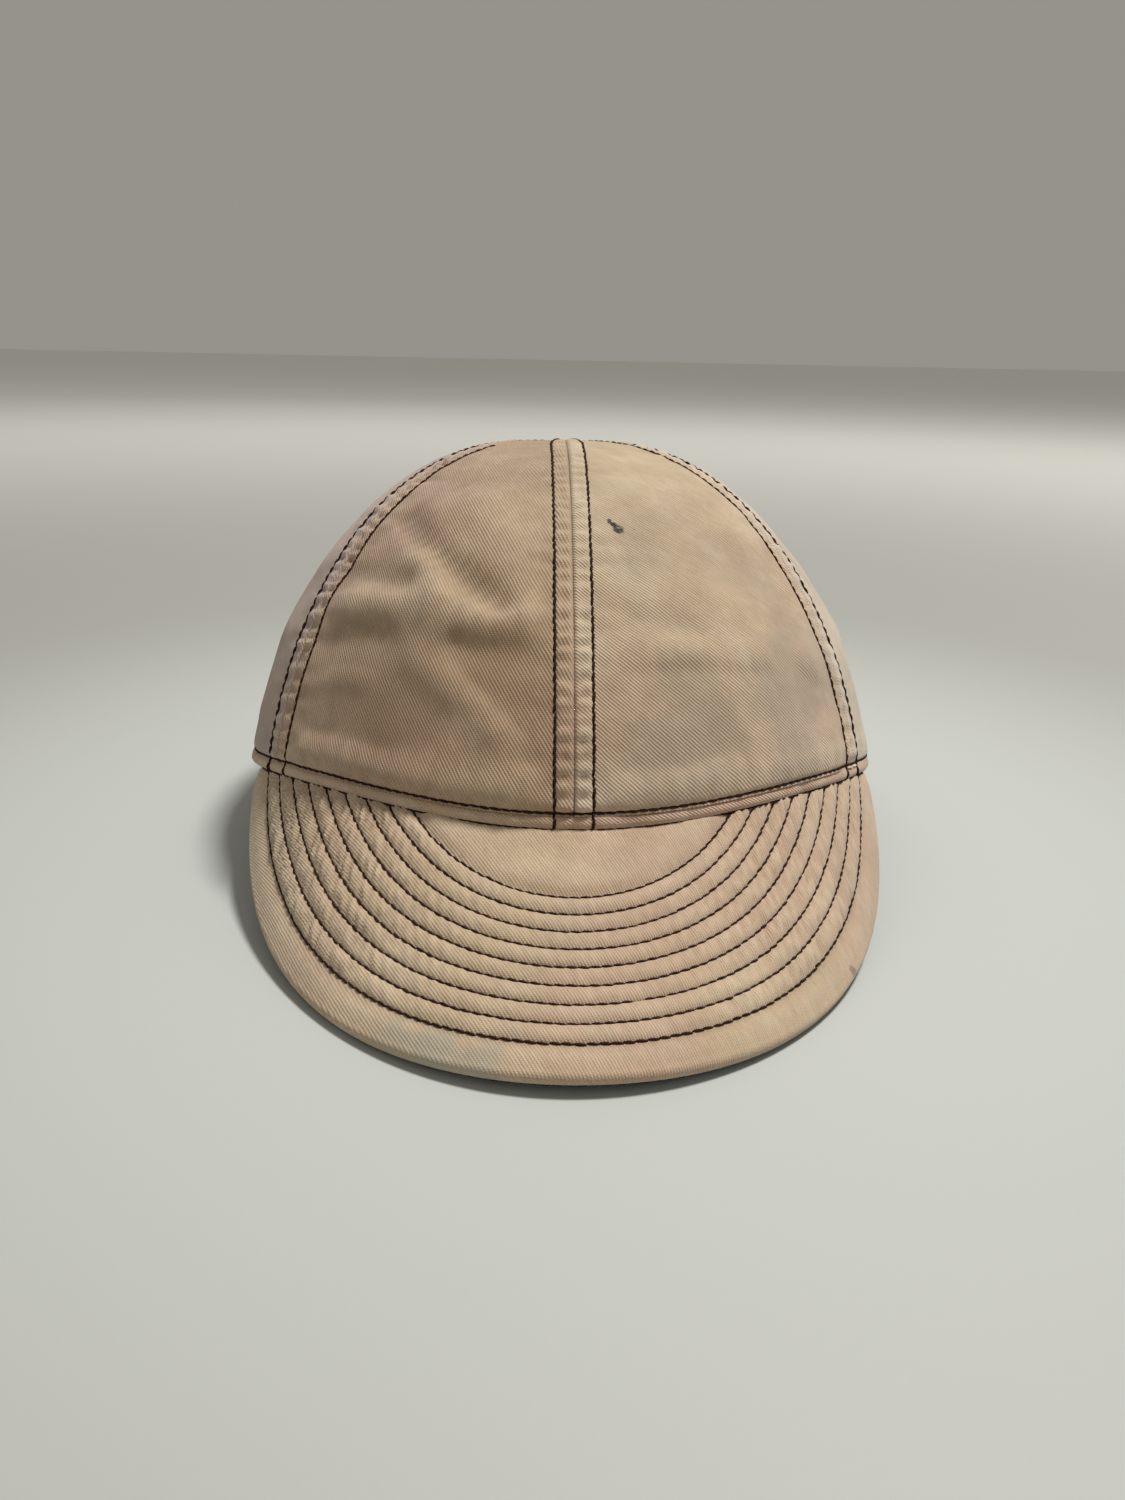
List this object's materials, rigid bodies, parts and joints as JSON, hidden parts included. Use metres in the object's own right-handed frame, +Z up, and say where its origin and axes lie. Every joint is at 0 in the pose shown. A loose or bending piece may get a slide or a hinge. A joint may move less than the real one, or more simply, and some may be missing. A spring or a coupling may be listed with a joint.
{
  "type": "bump cap",
  "caption": "Soft panelled cloth cap with a rounded stitched brim, a rear strap that opens, and a removable padded protective insert.",
  "frame": {"origin": "on the surface the cap stands on, under the middle of its box", "axes": "+Z up, the brim towards -Y, the wearer's left towards +X; the cap leans back 9.7 degrees, on the brim's front edge and the back of its hem"},
  "size_m": [0.181, 0.2546, 0.1078],
  "materials": {
    "crown_cloth": "faded beige cotton twill with a salmon cast",
    "side_cloth": "the same twill, faded to grey",
    "band_cloth": "the same twill, folded",
    "brim_cloth": "pinker twill, rubbed at the edge",
    "under_cloth": "pale plain cloth",
    "sweatband_cloth": "cotton band, darkened by wear",
    "seam_tape": "narrow cotton tape",
    "thread": "dark maroon sewing thread",
    "board": "moulded brim board",
    "hook_tape": "hook fastener tape",
    "loop_tape": "loop fastener tape",
    "shell_plastic": "black moulded shell, fine texture",
    "edge_rubber": "soft edge channel",
    "foam": "closed-cell foam"
  },
  "bodies": {
    "cap": {"front_panel_left": "crown_cloth", "front_panel_right": "crown_cloth", "side_panel_left": "side_cloth", "side_panel_right": "side_cloth", "back_panel_left": "crown_cloth", "back_panel_right": "crown_cloth", "hem_band": "band_cloth", "sweatband": "sweatband_cloth", "centre_seam_tape": "seam_tape", "left_seam_tape": "seam_tape", "right_seam_tape": "seam_tape", "brim_top_cloth": "brim_cloth", "brim_board": "board", "brim_under_cloth": "under_cloth", "back_opening_binding": "band_cloth", "strap_anchor_tab": "crown_cloth", "hook_patch": "hook_tape", "strap_sewn_end": "crown_cloth"},
    "strap": {"adjuster_strap": "crown_cloth", "loop_patch": "loop_tape"},
    "insert": {"insert_shell": "shell_plastic", "shell_edge_trim": "edge_rubber", "crown_foam_pad": "foam", "front_foam_pad": "foam", "left_foam_pad": "foam", "right_foam_pad": "foam", "rear_foam_pad": "foam"}
  },
  "joints": [
    {"name": "insert_out", "type": "slide", "parent": "cap", "child": "insert", "axis": [0, -0.1685, -0.9857], "range_m": [0, 0.14]},
    {"name": "strap_open", "type": "hinge", "parent": "cap", "child": "strap", "pos_m": [0.04282, 0.11514, 0.0131], "axis": [0.0614, -0.0666, -0.9959], "range_deg": [0, 100]}
  ]
}
